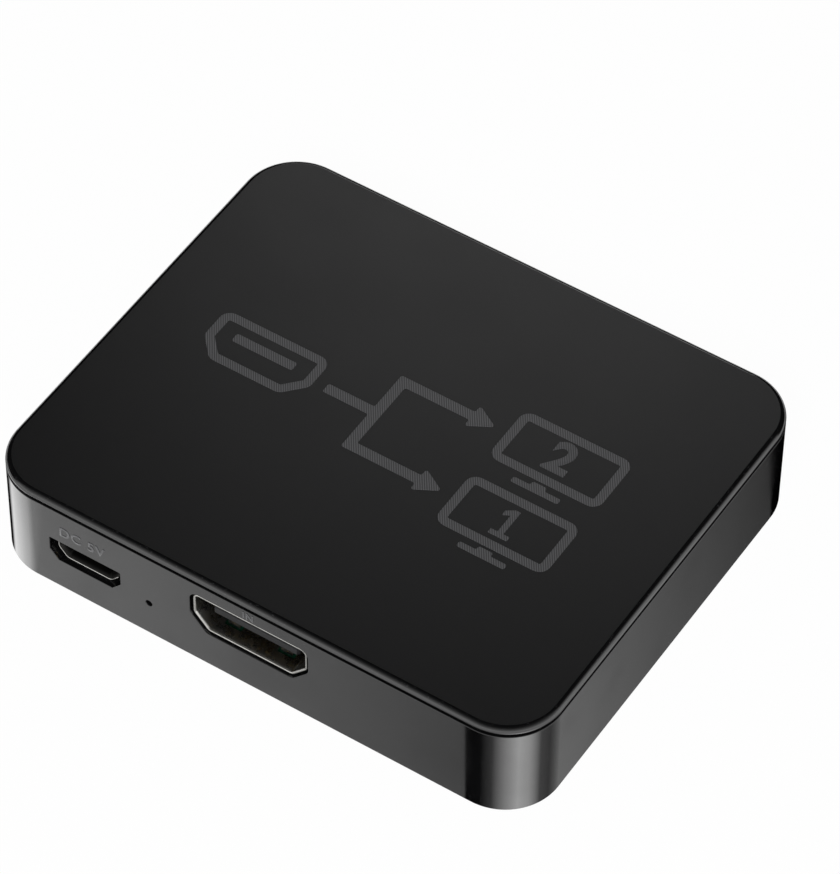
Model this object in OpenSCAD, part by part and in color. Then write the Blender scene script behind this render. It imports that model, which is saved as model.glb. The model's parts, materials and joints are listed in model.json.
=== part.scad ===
// Video splitter box: one video input, two video outputs and a power inlet in a flat two-piece case.
// Sizes are millimetres. X runs along the front wall, Y from the front wall to the back wall, Z is up.
// The origin lies under the middle of the case, in the plane that the feet stand on.

/* [Case] */
// Width of the case along the front wall
case_w = 70; // [62:1:90]
// Depth of the case from the front wall to the back wall
case_d = 58; // [52:1:80]
// Radius of the upright corners
corner_r = 6.8; // [5:0.1:9]
// Thickness of the side walls
wall_t = 1.9; // [1.5:0.1:2.4]
// Thickness of the floor
floor_t = 1.6; // [1.2:0.1:2.4]
// Rounding along the lower edge of the walls
base_edge_r = 0.4; // [0.2:0.1:0.8]

/* [Lid] */
// Height and rounding of the lid's edge that shows above the walls
lid_edge_r = 0.8; // [0.5:0.1:1.2]
// Thickness of the lid's deck
deck_t = 1.6; // [1.2:0.1:2.4]
// Height of the dark gap between the lid's edge and the walls
shadow_gap = 0.4; // [0.1:0.05:0.6]
// Width of the wall's outer lip, beside the ledge that carries the lid
lip_w = 0.9; // [0.6:0.1:1.2]
// Clearance between the lid's rim and the wall's lip
rim_clear = 0.1; // [0.05:0.05:0.2]
// Thickness of the lid's rim
rim_t = 1.6; // [1.2:0.1:2.4]
// Height of the lid's rim below its deck
rim_drop = 0.7; // [0.4:0.1:1.2]
// Free height between the video sockets and the lid's deck
headroom = 1.675; // [1:0.025:3]

/* [Screws and feet] */
// Distance from a wall's inner face to the axis of a screw
screw_inset = 4.1; // [3.6:0.1:5]
// Diameter of the bosses on the floor
boss_d = 5.6; // [4.8:0.1:6.4]
// Diameter of the lid's posts
post_d = 5; // [4:0.1:6]
// Diameter of a screw's shank
screw_d = 1.8; // [1.4:0.1:2.2]
// Length of a screw under its head
screw_len = 8; // [6:0.5:9]
// Length of a screw's tapered tip
screw_tip = 0.8; // [0.4:0.1:1.2]
// Diameter of a screw's head
head_d = 3.8; // [3.2:0.1:4.4]
// Height of a screw's head
head_h = 1.2; // [0.8:0.1:1.4]
// Width of the cross slot in a screw's head
cross_w = 0.6; // [0.4:0.1:0.8]
// Length of the cross slot in a screw's head
cross_l = 2.2; // [1.6:0.1:2.8]
// Depth of the cross slot in a screw's head
cross_depth = 0.6; // [0.3:0.1:0.7]
// Clearance around a screw where it passes through the case and the board
screw_clear = 0.15; // [0.1:0.05:0.3]
// Clearance around a screw in its post
pilot_clear = 0.05; // [0.02:0.01:0.1]
// Depth of the post's hole past the screw's tip
pilot_spare = 0.6; // [0.3:0.1:1]
// Gap between a screw's head and the foot that covers it
head_gap = 0.2; // [0.1:0.05:0.4]
// Diameter of a rubber foot
foot_d = 8.4; // [7:0.1:9]
// Height of a foot below the case
foot_proud = 0.8; // [0.4:0.1:1.5]
// Depth of a foot's recess in the floor
foot_recess = 0.6; // [0.4:0.1:0.8]
// Rounding of a foot's lower edge
foot_edge_r = 0.4; // [0.2:0.1:0.6]
// Clearance around a foot in its recess
foot_clear = 0.1; // [0.05:0.05:0.3]

/* [Board] */
// Thickness of the circuit board
board_t = 1.6; // [1:0.1:2]
// Height of the board above the floor
under_gap = 1.5; // [1.2:0.1:2.5]
// Gap between the board's edge and the walls
board_gap = 0.5; // [0.3:0.1:1]

/* [Video sockets] */
// Distance from a side of the case to the middle of the nearer output
output_margin = 17.4; // [16:0.1:19]
// Width of a video socket's opening
video_w = 14; // [13.5:0.1:14.5]
// Height of a video socket's opening
video_h = 4.55; // [4.3:0.05:4.8]
// Width of the slant at each lower corner of the opening
video_slant_w = 1.7; // [1:0.1:2.2]
// Height of the slant at each lower corner of the opening
video_slant_h = 1.9; // [1:0.1:2.4]
// Thickness of the socket's shell
video_shell_t = 0.35; // [0.25:0.05:0.5]
// Depth of the socket's shell
video_depth = 11.5; // [10.5:0.1:12.5]
// Height of the opening's middle above the board
video_rise = 3.4; // [3.2:0.1:4]
// Distance from the wall's outer face to the shell's rim
video_recess = 0.3; // [0:0.1:0.8]
// Clearance between the shell and the wall's cut-out
video_cut_clear = 0.25; // [0.1:0.05:0.5]
// Length of the insulator's block at the back of the shell
video_block_l = 4.2; // [3.4:0.1:5]
// Width of the insulator's tongue
video_tongue_w = 11; // [10.4:0.1:11.6]
// Thickness of the insulator's tongue
video_tongue_t = 1.3; // [1:0.1:1.6]
// Distance from the shell's rim to the tip of the tongue
video_tongue_recess = 1.1; // [0.6:0.1:2]
// Distance from one contact of a row to the next
video_pitch = 1; // [0.9:0.05:1.1]
// Contacts in the upper row, one more than in the lower row
upper_contacts = 10; // [6:1:10]

/* [Socket springs] */
// Distance from the middle of a shell to its springs
spring_x = 3.4; // [3:0.1:3.7]
// Width of a spring
spring_w = 1.5; // [1:0.1:1.9]
// Width of the slit around a spring
spring_slit = 0.35; // [0.2:0.05:0.5]
// Length of a spring
spring_l = 4.6; // [3.6:0.1:5.2]
// Distance from the shell's rim to the spring's window
spring_start = 1.6; // [1:0.1:2.4]
// Depth that a spring bends into the opening
spring_dip = 0.45; // [0.3:0.05:0.7]
// Length of a spring's turned-up tip
spring_tip = 0.9; // [0.6:0.1:1.2]

/* [Contacts and legs] */
// Width of a contact
contact_w = 0.3; // [0.2:0.02:0.36]
// Thickness of a contact
contact_t = 0.15; // [0.1:0.01:0.2]
// Distance from a video tongue's tip to its contacts
contact_tip = 0.6; // [0.3:0.1:1]
// Distance from a shell's back edge to the contacts' uprights
contact_back = 0.3; // [0.2:0.05:0.6]
// Length of a contact's foot on the board
contact_foot = 0.9; // [0.6:0.1:1.2]
// Width of a shell's leg
leg_w = 1.2; // [0.8:0.1:1.6]
// Length of a leg below the board
leg_out = 0.6; // [0.3:0.1:1]
// Distance from the board's edge to the first leg
leg_edge = 0.8; // [0.6:0.1:1.2]
// Distance from a shell's back edge to its rear leg
leg_back = 0.6; // [0.4:0.1:1]
// Clearance around a leg in the board
leg_clear = 0.15; // [0.1:0.05:0.3]
// Clearance between an insulator and the parts around it
fit_clear = 0.05; // [0.02:0.01:0.1]

/* [Power inlet] */
// Distance from the left side of the case to the middle of the power inlet
power_margin = 13.55; // [13:0.05:15]
// Width of the inlet's opening
power_w = 6.9; // [6.6:0.1:7.2]
// Height of the inlet's opening
power_h = 1.85; // [1.7:0.05:2]
// Width of the slant at each lower corner of the opening
power_slant_w = 0.8; // [0.5:0.05:1]
// Height of the slant at each lower corner of the opening
power_slant_h = 0.9; // [0.6:0.05:1.1]
// Thickness of the inlet's shell
power_shell_t = 0.25; // [0.2:0.01:0.3]
// Depth of the inlet's shell
power_depth = 5; // [4.8:0.1:6]
// Height of the inlet's middle above the board
power_rise = 1.45; // [1.4:0.05:2]
// Distance from the wall's outer face to the shell's rim
power_recess = 1; // [0.6:0.1:1.2]
// Length of the shell's flared rim
flare_l = 0.5; // [0.3:0.05:0.8]
// Height that the rim flares outwards
flare_h = 0.25; // [0.1:0.05:0.3]
// Clearance beside the shell in the wall's cut-out
power_side_clear = 0.97; // [0.6:0.01:1.2]
// Clearance above and below the shell in the wall's cut-out
power_over_clear = 0.42; // [0.35:0.01:0.6]
// Width of the slant at each lower corner of the cut-out
power_cut_slant_w = 1.1; // [0.8:0.05:1.4]
// Height of the slant at each lower corner of the cut-out
power_cut_slant_h = 1.25; // [0.9:0.05:1.4]
// Length of the insulator's block at the back of the inlet
power_block_l = 1.9; // [1.5:0.1:2.4]
// Width of the inlet's tongue
power_tongue_w = 3.7; // [3.4:0.1:4.2]
// Thickness of the inlet's tongue
power_tongue_t = 0.55; // [0.4:0.05:0.7]
// Height of the tongue's middle above the middle of the opening
power_tongue_up = 0.3; // [0.2:0.05:0.4]
// Distance from the shell's rim to the tip of the tongue
power_tongue_recess = 0.7; // [0.4:0.1:1]
// Distance from one power contact to the next
power_pitch = 0.65; // [0.6:0.01:0.7]
// Number of power contacts
power_contacts = 5; // [3:1:5]
// Distance from the tip of the inlet's tongue to its contacts
power_contact_tip = 0.3; // [0.2:0.05:0.6]

/* [Pilot light] */
// Distance from the left side of the case to the pilot light
led_margin = 21.95; // [21.5:0.05:23]
// Diameter of the pinhole in the wall
pinhole_d = 0.85; // [0.5:0.05:0.95]
// Width of the light's housing
led_w = 2.6; // [2:0.1:2.8]
// Depth of the light's housing
led_d = 1.2; // [0.8:0.1:1.6]
// Height of the light's housing
led_h = 1; // [0.9:0.1:1.4]
// Distance from the board's edge to the light
led_edge = 0.3; // [0.2:0.1:0.6]
// Radius of the light's lens
lens_r = 0.35; // [0.2:0.05:0.4]

/* [Splitter chip] */
// Distance of the chip behind the middle of the board
chip_y = 2; // [0:0.5:4]
// Side of the chip's square body
chip_w = 10; // [9:0.5:11]
// Height of the chip's body
chip_h = 1.4; // [1:0.1:1.8]
// Leads on each side of the chip
chip_leads = 16; // [8:1:16]
// Distance from one lead to the next
chip_pitch = 0.5; // [0.4:0.05:0.55]
// Diameter of the dimple that marks the first lead
dimple_d = 1; // [0.6:0.1:1.4]
// Depth of that dimple
dimple_depth = 0.1; // [0.05:0.05:0.2]
// Distance from the chip's sides to the dimple
dimple_inset = 1.3; // [1:0.1:2]

/* [Leads] */
// Width of a fine lead
lead_w = 0.22; // [0.16:0.02:0.26]
// Thickness of a lead
lead_t = 0.15; // [0.1:0.01:0.2]
// Distance that a lead runs out before it turns down
lead_out = 0.45; // [0.35:0.05:0.6]
// Length of a lead's foot on the board
lead_foot = 0.6; // [0.4:0.05:0.8]
// Height of the chips' bodies above the board
stand_off = 0.1; // [0.05:0.05:0.2]

/* [Memory chip] */
// Distance of the memory chip to the left of the splitter chip
memory_x = 17; // [15:0.5:19]
// Width of the memory chip's body, along its rows of leads
memory_w = 4.9; // [4.4:0.1:5.4]
// Depth of the memory chip's body, from one row of leads to the other
memory_d = 3.9; // [3.4:0.1:4.4]
// Height of the memory chip's body
memory_h = 1.4; // [1:0.1:1.8]
// Leads in each row
memory_leads = 4; // [2:1:4]
// Distance from one lead to the next
memory_pitch = 1.27; // [1.1:0.01:1.3]
// Width of a lead
memory_lead_w = 0.42; // [0.3:0.02:0.5]

/* [Regulator] */
// Distance from the power contacts' feet to the regulator's front leads
regulator_gap = 3.4; // [3:0.1:5]
// Width of the regulator's body
regulator_w = 6.5; // [6:0.1:7]
// Depth of the regulator's body
regulator_d = 3.5; // [3:0.1:4]
// Height of the regulator's body
regulator_h = 1.6; // [1.2:0.1:1.8]
// Leads along the regulator's front
regulator_leads = 3; // [2:1:3]
// Distance from one of those leads to the next
regulator_pitch = 2.3; // [2:0.1:2.5]
// Width of a lead
regulator_lead_w = 0.7; // [0.5:0.05:0.9]
// Width of the tab
regulator_tab_w = 3; // [2.6:0.1:3.4]

/* [Crystal] */
// Distance of the crystal to the right of the splitter chip
crystal_x = 14; // [13:0.5:16]
// Length of the crystal's can
crystal_l = 10.2; // [9:0.1:11]
// Width of the crystal's can
crystal_w = 3.7; // [3:0.1:4.2]
// Height of the crystal's can above its flange
crystal_h = 2.9; // [2:0.1:3.5]
// Width of the flange around the can
flange_w = 0.45; // [0.3:0.05:0.6]
// Thickness of the flange
flange_t = 0.5; // [0.3:0.1:0.8]

/* [Small parts] */
// Length of a small capacitor or resistor
chip_part_l = 1.6; // [1.4:0.1:2]
// Width of a small capacitor or resistor
chip_part_w = 0.8; // [0.6:0.05:1]
// Height of a small capacitor
capacitor_h = 0.8; // [0.5:0.05:1]
// Height of a resistor
resistor_h = 0.45; // [0.35:0.05:0.6]
// Length of an end cap
end_cap_l = 0.3; // [0.2:0.05:0.4]
// Distance that an end cap stands proud of its body
end_cap_proud = 0.03; // [0.02:0.01:0.05]
// Distance from the chip's leads to the capacitors around it
capacitor_gap = 1.4; // [1.2:0.1:2]
// Capacitors along each side of the chip
capacitor_count = 3; // [1:1:3]
// Distance from one of those capacitors to the next
capacitor_step = 3.2; // [2.6:0.1:3.4]
// Length of a surge array
array_l = 2.5; // [2:0.1:3]
// Width of a surge array
array_w = 1; // [0.8:0.1:1.2]
// Height of a surge array
array_h = 0.55; // [0.4:0.05:0.7]
// Distance from a socket's middle to its surge arrays
array_x = 2.6; // [2.2:0.1:3]
// Distance from the contacts' feet to the surge arrays, and on to the resistors
array_gap = 0.6; // [0.4:0.1:1]
// Resistors behind each video socket
resistor_count = 4; // [2:1:4]
// Distance from one of those resistors to the next
resistor_step = 2.2; // [1.8:0.1:2.6]
// Distance of the bulk capacitor to the right of the regulator
bulk_x = 7.5; // [7:0.1:8]
// Length of the bulk capacitor
bulk_l = 3.5; // [3:0.1:4]
// Width of the bulk capacitor
bulk_w = 2.8; // [2.4:0.1:3.2]
// Height of the bulk capacitor
bulk_h = 1.9; // [1.4:0.1:2.2]
// Length of the ferrite bead
bead_l = 3.2; // [2.8:0.1:3.6]
// Width of the ferrite bead
bead_w = 1.6; // [1.2:0.1:2]
// Height of the ferrite bead
bead_h = 1.1; // [0.8:0.1:1.4]
// Distance from the power contacts' feet to the ferrite bead
bead_gap = 0.7; // [0.4:0.1:0.9]

/* [Hidden] */
$fn = 64;
// Distance that a cutting tool runs past the face that it cuts
overcut = 1;

// Heights
base_z = foot_proud;
floor_z = base_z + floor_t;
board_z0 = floor_z + under_gap;
board_z = board_z0 + board_t;
socket_top = board_z + video_rise + video_h / 2 + video_shell_t;
deck_z = socket_top + headroom;
top_z = deck_z + deck_t;
lid_z = top_z - lid_edge_r;
wall_z = lid_z - shadow_gap;
ledge_z = deck_z - rim_drop;
foot_top = base_z + foot_recess;
head_z = foot_top + head_gap;
seat_z = head_z + head_h;
screw_top = seat_z + screw_len;

// Places on the plan
video_in_x = 0;
output_x = case_w / 2 - output_margin;
power_x = power_margin - case_w / 2;
led_x = led_margin - case_w / 2;
screw_x = case_w / 2 - wall_t - screw_inset;
screw_y = case_d / 2 - wall_t - screw_inset;
board_w = case_w - 2 * (wall_t + board_gap);
board_d = case_d - 2 * (wall_t + board_gap);
board_r = corner_r - wall_t - board_gap;

// Depths behind a wall's outer face
board_edge = wall_t + board_gap;
front_leg = board_edge + leg_edge;
video_back = video_recess + video_depth;
video_leg = video_back - leg_back - leg_w;
video_upright = video_back + contact_back;
video_feet = video_upright + contact_t + contact_foot;
array_at = video_feet + array_gap + array_w / 2;
resistor_at = array_at + array_w / 2 + array_gap + chip_part_l / 2;
power_back = power_recess + power_depth;
power_leg = power_back - leg_back - leg_w;
power_upright = power_back + contact_back;
power_feet = power_upright + contact_t + contact_foot;
bead_at = power_feet + bead_gap + bead_w / 2;
lead_reach = lead_out + lead_foot;
regulator_at = power_feet + regulator_gap + lead_reach + regulator_d / 2;

// Heights of the rows of contacts above the board: each strip's lower face
upper_row = video_rise + video_tongue_t / 2;
lower_row = video_rise - video_tongue_t / 2 - contact_t;
power_row = power_rise + power_tongue_up - power_tongue_t / 2 - contact_t;

// Plan outline with round corners
module rounded_rect(w, d, r) {
    square([w - 2 * r, d], center = true);
    square([w, d - 2 * r], center = true);
    for (x = [-1, 1], y = [-1, 1])
        translate([x * (w / 2 - r), y * (d / 2 - r)]) circle(r);
}

// Upright plate with that outline, from z0 to z1
module plate(w, d, r, z0, z1) {
    translate([0, 0, z0]) linear_extrude(z1 - z0) rounded_rect(w, d, r);
}

// Quarter disc that rounds an edge
module quarter(r) {
    intersection() {
        circle(r);
        square(r);
    }
}

// Section from a corner's axis out to the wall's face, with round upper and lower edges
module edge_section(reach, h, top_r, base_r) {
    if (h > top_r + base_r)
        translate([0, base_r]) square([reach, h - top_r - base_r]);
    if (top_r > 0) {
        translate([0, h - top_r]) square([reach - top_r, top_r]);
        translate([reach - top_r, h - top_r]) quarter(top_r);
    }
    if (base_r > 0) {
        square([reach - base_r, base_r]);
        translate([reach - base_r, base_r]) mirror([0, 1]) quarter(base_r);
    }
}

// Slab with round corners whose upper and lower edges are rounded
module slab(w, d, r, h, top_r, base_r) {
    cx = w / 2 - r;
    cy = d / 2 - r;
    translate([-cx, -cy, 0]) cube([2 * cx, 2 * cy, h]);
    for (a = [0, 1], b = [0, 1])
        mirror([a, 0, 0]) mirror([0, b, 0]) translate([cx, cy, 0])
            rotate_extrude(angle = 90) edge_section(r, h, top_r, base_r);
    for (a = [0, 1]) {
        mirror([0, a, 0]) translate([-cx, cy, 0]) rotate([90, 0, 90])
            linear_extrude(2 * cx) edge_section(r, h, top_r, base_r);
        mirror([a, 0, 0]) translate([cx, cy, 0]) rotate([90, 0, 0])
            linear_extrude(2 * cy) edge_section(r, h, top_r, base_r);
    }
}

// Socket outline, wide above and slanted at the lower corners, grown outwards by an even distance
function socket_outline(w, h, slant_w, slant_h, grow) =
    let (normal = [slant_h, -slant_w] / norm([slant_w, slant_h]),
         upper = [w / 2 + grow, h / 2 + grow],
         side = [w / 2, slant_h - h / 2] + grow * ([1, 0] + normal) / (1 + normal[0]),
         toe = [w / 2 - slant_w, -h / 2] + grow * ([0, -1] + normal) / (1 - normal[1]))
    [upper, side, toe, [-toe[0], toe[1]], [-side[0], side[1]], [-upper[0], upper[1]]];

// Section in X and Z, run from y0 to y1
module along_y(y0, y1) {
    translate([0, y1, 0]) rotate([90, 0, 0]) linear_extrude(y1 - y0) children();
}

// Section in Y and Z, given a width along X about x
module along_x(x, w) {
    translate([x - w / 2, 0, 0]) rotate([90, 0, 90]) linear_extrude(w) children();
}

// Box from a corner and a size, centred on X
module box_x(x, w, y0, y1, z0, z1) {
    translate([x - w / 2, y0, z0]) cube([w, y1 - y0, z1 - z0]);
}

// Box that stands on the board, centred on X and Y
module chip_box(x, y, w, d, h, z = 0) {
    translate([x - w / 2, y - d / 2, z]) cube([w, d, h]);
}

// Frames of the walls: Y runs inwards from the wall's outer face, Z starts on the board
module at_front(x) {
    translate([x, -case_d / 2, board_z]) children();
}

module at_back(x) {
    translate([x, case_d / 2, board_z]) rotate([0, 0, 180]) children();
}

module at_each_video() {
    at_front(video_in_x) children();
    at_back(-output_x) children();
    at_back(output_x) children();
}

module at_each_screw() {
    for (x = [-1, 1], y = [-1, 1])
        translate([x * screw_x, y * screw_y, 0]) children();
}

// Frame on the board with its origin at the splitter chip
module at_chip() {
    translate([0, chip_y, board_z]) children();
}

// Solid of a video socket's outline, in the wall's frame
module video_prism(y0, y1, grow) {
    along_y(y0, y1) translate([0, video_rise])
        polygon(socket_outline(video_w, video_h, video_slant_w, video_slant_h, grow));
}

// Solid of the power inlet's outline, in the wall's frame
module power_prism(y0, y1, grow) {
    along_y(y0, y1) translate([0, power_rise])
        polygon(socket_outline(power_w, power_h, power_slant_w, power_slant_h, grow));
}

// Cut-out for the power inlet: the shell's outline with its own clearance beside and above it
module power_cut() {
    side = power_shell_t + power_side_clear;
    over = power_shell_t + power_over_clear;
    along_y(-overcut, wall_t + overcut) translate([0, power_rise])
        polygon(socket_outline(power_w + 2 * side, power_h + 2 * over,
                               power_cut_slant_w, power_cut_slant_h, 0));
}

module bottom_case() {
    color("#242426")
    difference() {
        union() {
            difference() {
                translate([0, 0, base_z])
                    slab(case_w, case_d, corner_r, wall_z - base_z, 0, base_edge_r);
                plate(case_w - 2 * wall_t, case_d - 2 * wall_t, corner_r - wall_t, floor_z, wall_z + overcut);
                plate(case_w - 2 * lip_w, case_d - 2 * lip_w, corner_r - lip_w, ledge_z, wall_z + overcut);
            }
            at_each_screw() translate([0, 0, base_z + base_edge_r])
                cylinder(d = boss_d, h = board_z0 - base_z - base_edge_r);
        }
        at_each_screw() {
            translate([0, 0, base_z - overcut])
                cylinder(d = foot_d + 2 * foot_clear, h = foot_recess + overcut);
            translate([0, 0, base_z]) cylinder(d = head_d + 2 * screw_clear, h = seat_z - base_z);
            translate([0, 0, base_z]) cylinder(d = screw_d + 2 * screw_clear, h = board_z0 - base_z + overcut);
        }
        at_each_video() video_prism(-overcut, wall_t + overcut, video_shell_t + video_cut_clear);
        at_front(power_x) power_cut();
        at_front(led_x) translate([0, wall_t + overcut, led_h / 2]) rotate([90, 0, 0])
            cylinder(d = pinhole_d, h = wall_t + 2 * overcut);
    }
}

module top_cover() {
    inset = lip_w + rim_clear;
    color("#1c1c1d")
    difference() {
        union() {
            translate([0, 0, lid_z]) slab(case_w, case_d, corner_r, lid_edge_r, lid_edge_r, 0);
            plate(case_w - 2 * inset, case_d - 2 * inset, corner_r - inset, deck_z, lid_z);
            difference() {
                plate(case_w - 2 * inset, case_d - 2 * inset, corner_r - inset, ledge_z, deck_z);
                plate(case_w - 2 * (inset + rim_t), case_d - 2 * (inset + rim_t), corner_r - inset - rim_t,
                      ledge_z - overcut, deck_z);
            }
            at_each_screw() translate([0, 0, board_z]) cylinder(d = post_d, h = deck_z - board_z);
        }
        at_each_screw() translate([0, 0, board_z - overcut])
            cylinder(d = screw_d + 2 * pilot_clear, h = screw_top + pilot_spare - board_z + overcut);
    }
}

module case_screws() {
    color("#b9babd")
    at_each_screw() {
        difference() {
            translate([0, 0, head_z]) cylinder(d = head_d, h = head_h);
            for (turn = [0, 90])
                translate([0, 0, head_z]) rotate([0, 0, turn])
                    cube([cross_l, cross_w, 2 * cross_depth], center = true);
        }
        translate([0, 0, seat_z]) cylinder(d = screw_d, h = screw_len - screw_tip);
        translate([0, 0, screw_top - screw_tip]) cylinder(d1 = screw_d, d2 = screw_d / 2, h = screw_tip);
    }
}

module rubber_feet() {
    color("#1a1a1a")
    at_each_screw() rotate_extrude() edge_section(foot_d / 2, foot_top, 0, foot_edge_r);
}

// Slots in the board for the legs of a shell, in the wall's frame
module leg_slots(w, shell_t, places) {
    for (side = [-1, 1], y = places)
        box_x(side * (w + shell_t) / 2, shell_t + 2 * leg_clear, y - leg_clear, y + leg_w + leg_clear,
              -board_t - overcut, overcut);
}

module main_board() {
    color("#1f5a3a")
    difference() {
        plate(board_w, board_d, board_r, board_z0, board_z);
        at_each_screw() translate([0, 0, board_z0 - overcut])
            cylinder(d = screw_d + 2 * screw_clear, h = board_t + 2 * overcut);
        at_each_video() leg_slots(video_w, video_shell_t, [front_leg, video_leg]);
        at_front(power_x) leg_slots(power_w, power_shell_t, [power_leg]);
    }
}

// Legs of a shell: straight down from its upright sides, through the board
module shell_legs(w, shell_t, places, top) {
    for (side = [-1, 1], y = places)
        box_x(side * (w + shell_t) / 2, shell_t, y, y + leg_w, -board_t - leg_out, top);
}

// Spring finger of a video shell, bent into the opening below the shell's upper plate
module spring_finger() {
    under = video_h / 2;
    tip = video_recess + spring_start + spring_slit;
    knee = tip + spring_tip;
    root = video_recess + spring_start + spring_l;
    polygon([
        [root, under], [root, under + video_shell_t],
        [knee, under + video_shell_t - spring_dip], [tip, under + video_shell_t - spring_dip / 2],
        [tip, under - spring_dip / 2], [knee, under - spring_dip]
    ]);
}

module video_shell() {
    color("#c9c8c4") {
        difference() {
            video_prism(video_recess, video_back, video_shell_t);
            video_prism(video_recess - overcut, video_back + overcut, 0);
            for (x = [-1, 1])
                box_x(x * spring_x, spring_w + 2 * spring_slit, video_recess + spring_start,
                      video_recess + spring_start + spring_l, 0, socket_top + overcut - board_z);
        }
        for (x = [-1, 1], flip = [0, 1])
            translate([0, 0, video_rise]) mirror([0, 0, flip])
                along_x(x * spring_x, spring_w) spring_finger();
        shell_legs(video_w, video_shell_t, [front_leg, video_leg], video_rise);
    }
}

// Places of a row of contacts, centred on the socket
function row(count, pitch) = [for (i = [0 : count - 1]) (i - (count - 1) / 2) * pitch];

// Contact: a strip along the tongue, an upright behind the shell and a foot on the board
module contact(tip, upright, z) {
    polygon([
        [tip, z], [tip, z + contact_t], [upright + contact_t, z + contact_t], [upright + contact_t, contact_t],
        [upright + contact_t + contact_foot, contact_t], [upright + contact_t + contact_foot, 0],
        [upright, 0], [upright, z]
    ]);
}

// Slot for a contact's strip through an insulator's block
module contact_slot(x, y0, y1, z) {
    box_x(x, contact_w + 2 * fit_clear, y0, y1, z - fit_clear, z + contact_t + fit_clear);
}

module video_insulator() {
    block = video_back - video_block_l;
    tongue = video_recess + video_tongue_recess;
    color("#151516")
    difference() {
        union() {
            video_prism(block, video_back, -fit_clear);
            box_x(0, video_tongue_w, tongue, block + overcut, video_rise - video_tongue_t / 2,
                  video_rise + video_tongue_t / 2);
        }
        for (x = row(upper_contacts, video_pitch))
            contact_slot(x, block - overcut, video_back + overcut, upper_row);
        for (x = row(upper_contacts - 1, video_pitch))
            contact_slot(x, block - overcut, video_back + overcut, lower_row);
    }
}

module video_contacts() {
    tip = video_recess + video_tongue_recess + contact_tip;
    color("#d2a94c") {
        for (x = row(upper_contacts, video_pitch))
            along_x(x, contact_w) contact(tip, video_upright, upper_row);
        for (x = row(upper_contacts - 1, video_pitch))
            along_x(x, contact_w) contact(tip, video_upright, lower_row);
    }
}

module video_in_shell() {
    at_front(video_in_x) video_shell();
}

module video_in_insulator() {
    at_front(video_in_x) video_insulator();
}

module video_in_contacts() {
    at_front(video_in_x) video_contacts();
}

module video_out_1_shell() {
    at_back(-output_x) video_shell();
}

module video_out_1_insulator() {
    at_back(-output_x) video_insulator();
}

module video_out_1_contacts() {
    at_back(-output_x) video_contacts();
}

module video_out_2_shell() {
    at_back(output_x) video_shell();
}

module video_out_2_insulator() {
    at_back(output_x) video_insulator();
}

module video_out_2_contacts() {
    at_back(output_x) video_contacts();
}

// Lip of the power inlet's rim, flared away from the opening
module flare() {
    inner = power_h / 2;
    polygon([
        [power_recess + flare_l, inner], [power_recess + flare_l, inner + power_shell_t],
        [power_recess, inner + power_shell_t + flare_h], [power_recess, inner + flare_h]
    ]);
}

module power_socket_shell() {
    color("#c9c8c4")
    at_front(power_x) {
        difference() {
            power_prism(power_recess + flare_l, power_back, power_shell_t);
            power_prism(power_recess, power_back + overcut, 0);
        }
        translate([0, 0, power_rise]) along_x(0, power_w) flare();
        translate([0, 0, power_rise]) mirror([0, 0, 1]) along_x(0, power_w - 2 * power_slant_w) flare();
        shell_legs(power_w, power_shell_t, [power_leg], power_rise);
    }
}

module power_socket_insulator() {
    block = power_back - power_block_l;
    color("#151516")
    at_front(power_x)
    difference() {
        union() {
            power_prism(block, power_back, -fit_clear);
            box_x(0, power_tongue_w, power_recess + power_tongue_recess, block + power_block_l / 2,
                  power_row + contact_t, power_row + contact_t + power_tongue_t);
        }
        for (x = row(power_contacts, power_pitch))
            contact_slot(x, block - overcut, power_back + overcut, power_row);
    }
}

module power_socket_contacts() {
    color("#d2a94c")
    at_front(power_x)
        for (x = row(power_contacts, power_pitch))
            along_x(x, contact_w)
                contact(power_recess + power_tongue_recess + power_contact_tip, power_upright, power_row);
}

module status_led() {
    front = board_edge + led_edge;
    color("#e8e8e0")
    at_front(led_x) {
        box_x(0, led_w, front, front + led_d, 0, led_h);
        translate([0, front, led_h / 2]) sphere(lens_r);
    }
}

// Lead that runs out from a body's side, turns down and ends in a foot on the board
module gull_lead(h, t) {
    polygon([
        [0, h], [0, h + t], [lead_out, h + t], [lead_out, t],
        [lead_out + lead_foot, t], [lead_out + lead_foot, 0], [lead_out - t, 0], [lead_out - t, h]
    ]);
}

// Row of leads along a side that faces Y, at a distance from the body's middle
module lead_row(places, w, reach, body_h) {
    for (x = places)
        translate([0, reach, 0]) along_x(x, w) gull_lead(stand_off + body_h / 2, lead_t);
}

module splitter_chip() {
    mark = chip_w / 2 - dimple_inset;
    color("#1d1d20")
    at_chip()
    difference() {
        chip_box(0, 0, chip_w, chip_w, chip_h, stand_off);
        translate([-mark, -mark, stand_off + chip_h - dimple_depth])
            cylinder(d = dimple_d, h = dimple_depth + overcut);
    }
}

module splitter_chip_leads() {
    color("#bfc1c4")
    at_chip()
        for (side = [0 : 3])
            rotate([0, 0, 90 * side]) lead_row(row(chip_leads, chip_pitch), lead_w, chip_w / 2, chip_h);
}

module memory_chip() {
    color("#1d1d20")
    at_chip()
        chip_box(-memory_x, 0, memory_w, memory_d, memory_h, stand_off);
}

module memory_chip_leads() {
    color("#bfc1c4")
    at_chip()
        for (side = [0, 1])
            translate([-memory_x, 0, 0]) mirror([0, side, 0])
                lead_row(row(memory_leads, memory_pitch), memory_lead_w, memory_d / 2, memory_h);
}

module voltage_regulator() {
    color("#1d1d20")
    at_front(power_x)
        chip_box(0, regulator_at, regulator_w, regulator_d, regulator_h, stand_off);
}

module voltage_regulator_leads() {
    color("#bfc1c4")
    at_front(power_x) translate([0, regulator_at, 0]) {
        mirror([0, 1, 0])
            lead_row(row(regulator_leads, regulator_pitch), regulator_lead_w, regulator_d / 2, regulator_h);
        lead_row([0], regulator_tab_w, regulator_d / 2, regulator_h);
    }
}

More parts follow.
